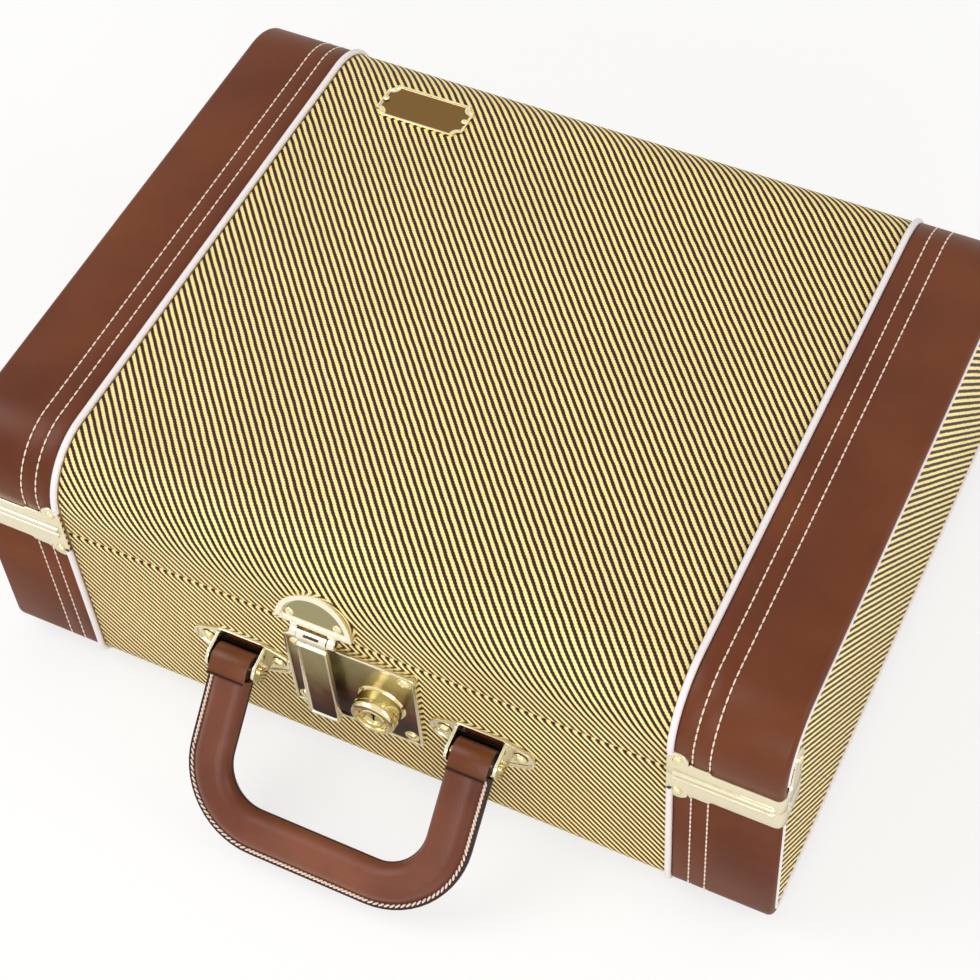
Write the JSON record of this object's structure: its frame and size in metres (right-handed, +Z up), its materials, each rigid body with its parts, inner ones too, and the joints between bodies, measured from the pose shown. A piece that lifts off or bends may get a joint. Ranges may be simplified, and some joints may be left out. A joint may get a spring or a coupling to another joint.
{
  "type": "tube tester",
  "caption": "Portable tube tester in a closed tweed and leather carrying case, with hinged lid, hasp lock, leather handle and a control panel inside.",
  "frame": {"origin": "on the ground, under the middle of the whole object with its handle hanging at the front", "axes": "+X to the right along the case, +Y to the back where the hinges are, +Z up"},
  "size_m": [0.445, 0.4194, 0.176],
  "materials": {
    "plywood": "varnished birch plywood",
    "tweed": "woven tweed cloth",
    "case_leather": "smooth brown leather",
    "piping": "white vinyl cord",
    "brass_sheet": "polished pressed sheet",
    "brass_fasteners": "polished",
    "brass_turned": "turned and polished",
    "foot_rubber": "moulded black rubber",
    "handle_leather": "smooth stitched leather",
    "name_bronze": "dark bronze field, bright rim",
    "panel_enamel": "hammered enamel",
    "steel": "plated",
    "pine": "planed",
    "black_bakelite": "moulded",
    "brown_bakelite": "moulded",
    "dial_card": "printed card",
    "clear_glass": "clear",
    "magnet": "cast",
    "needle_black": "painted black",
    "roller_wood": "turned",
    "red_plastic": "moulded",
    "lamp_red": "clear red jewel",
    "winding": "varnished paper wrap"
  },
  "bodies": {
    "base": {"base_shell": "plywood", "base_tweed_cover": "tweed", "base_leather_bands": "case_leather", "base_end_panels": "tweed", "base_piping": "piping", "base_corner_guards": "brass_sheet", "base_rivets": "brass_fasteners", "rubber_feet": "foot_rubber", "hinge_base_leaves": "brass_sheet", "hinge_pins": "brass_fasteners", "base_screws": "brass_fasteners", "handle_brackets": "brass_sheet", "handle_pins": "brass_fasteners", "lock_plate": "brass_sheet", "lock_housing": "brass_turned", "control_panel": "panel_enamel", "panel_screws": "steel", "panel_cleats": "pine", "meter_case": "black_bakelite", "meter_dial": "dial_card", "meter_glass": "clear_glass", "meter_movement": "magnet", "socket_octal": "black_bakelite", "socket_loctal": "black_bakelite", "socket_miniature": "brown_bakelite", "socket_noval": "brown_bakelite", "selector_switches": "steel", "chart_frame": "steel", "chart_paper": "dial_card", "toggle_switch": "steel", "button_bush": "steel", "pilot_lamp": "lamp_red", "fuse_holder": "black_bakelite", "mains_inlet": "black_bakelite", "transformer_core": "steel", "transformer_coil": "winding"},
    "hasp": {"hasp": "brass_sheet"},
    "handle": {"handle_grip": "handle_leather"},
    "key": {"key_plug": "brass_turned"},
    "filament": {"filament_knob": "black_bakelite"},
    "circuit": {"circuit_knob": "black_bakelite"},
    "bias": {"bias_knob": "black_bakelite"},
    "load": {"load_knob": "black_bakelite"},
    "drive": {"drive_roller": "roller_wood"},
    "idle": {"idle_roller": "roller_wood"},
    "toggle": {"toggle_lever": "steel"},
    "button": {"test_button": "red_plastic"},
    "needle": {"meter_needle": "needle_black"},
    "lid": {"lid_shell": "plywood", "lid_tweed_cover": "tweed", "lid_leather_bands": "case_leather", "lid_end_panels": "tweed", "lid_piping": "piping", "lid_corner_guards": "brass_sheet", "lid_rivets": "brass_fasteners", "hinge_lid_leaves": "brass_sheet", "lid_screws": "brass_fasteners", "nameplate": "name_bronze", "hasp_plate": "brass_sheet", "hasp_pin": "brass_fasteners"}
  },
  "joints": [
    {"name": "lid_hinge", "type": "hinge", "parent": "base", "child": "lid", "pos_m": [0, 0.20672, 0.122], "axis": [-1, 0, 0], "range_deg": [0, 105]},
    {"name": "hasp_hinge", "type": "hinge", "parent": "lid", "child": "hasp", "pos_m": [-0.018, -0.14055, 0.127], "axis": [-1, 0, 0], "range_deg": [0, 120]},
    {"name": "handle_hinge", "type": "hinge", "parent": "base", "child": "handle", "pos_m": [0, -0.14458, 0.078], "axis": [-1, 0, 0], "range_deg": [0, 116]},
    {"name": "key_turn", "type": "hinge", "parent": "base", "child": "key", "pos_m": [0.014, -0.13408, 0.085], "axis": [0, 1, 0], "range_deg": [0, 90]},
    {"name": "filament_turn", "type": "hinge", "parent": "base", "child": "filament", "pos_m": [-0.15, -0.01768, 0.112], "axis": [0, 0, -1], "range_deg": [0, 300]},
    {"name": "circuit_turn", "type": "hinge", "parent": "base", "child": "circuit", "pos_m": [-0.098, -0.01768, 0.112], "axis": [0, 0, -1], "range_deg": [0, 330]},
    {"name": "bias_turn", "type": "hinge", "parent": "base", "child": "bias", "pos_m": [-0.046, -0.01768, 0.112], "axis": [0, 0, -1], "range_deg": [0, 300]},
    {"name": "load_turn", "type": "hinge", "parent": "base", "child": "load", "pos_m": [0.006, -0.01768, 0.112], "axis": [0, 0, -1], "range_deg": [0, 300]},
    {"name": "chart_drive", "type": "hinge", "parent": "base", "child": "drive", "pos_m": [0.084, 0.11032, 0.1005], "axis": [1, 0, 0], "range_deg": [0, 1440]},
    {"name": "chart_idle", "type": "hinge", "parent": "base", "child": "idle", "pos_m": [0.084, 0.15832, 0.1005], "axis": [1, 0, 0], "range_deg": [0, 1440]},
    {"name": "toggle_tilt", "type": "hinge", "parent": "base", "child": "toggle", "pos_m": [0.126, -0.01768, 0.112], "axis": [-1, 0, 0], "range_deg": [0, 24]},
    {"name": "button_press", "type": "slide", "parent": "base", "child": "button", "axis": [0, 0, -1], "range_m": [0, 0.003], "stiffness_N_per_m": 400, "springref_m": -0.001},
    {"name": "needle_swing", "type": "hinge", "parent": "base", "child": "needle", "pos_m": [-0.118, 0.08032, 0.116], "axis": [0, 0, -1], "range_deg": [0, 90], "stiffness_Nm_per_rad": 0.0005}
  ],
  "couplings": [
    {"joint": "chart_idle", "follows": "chart_drive", "ratio": 1}
  ]
}
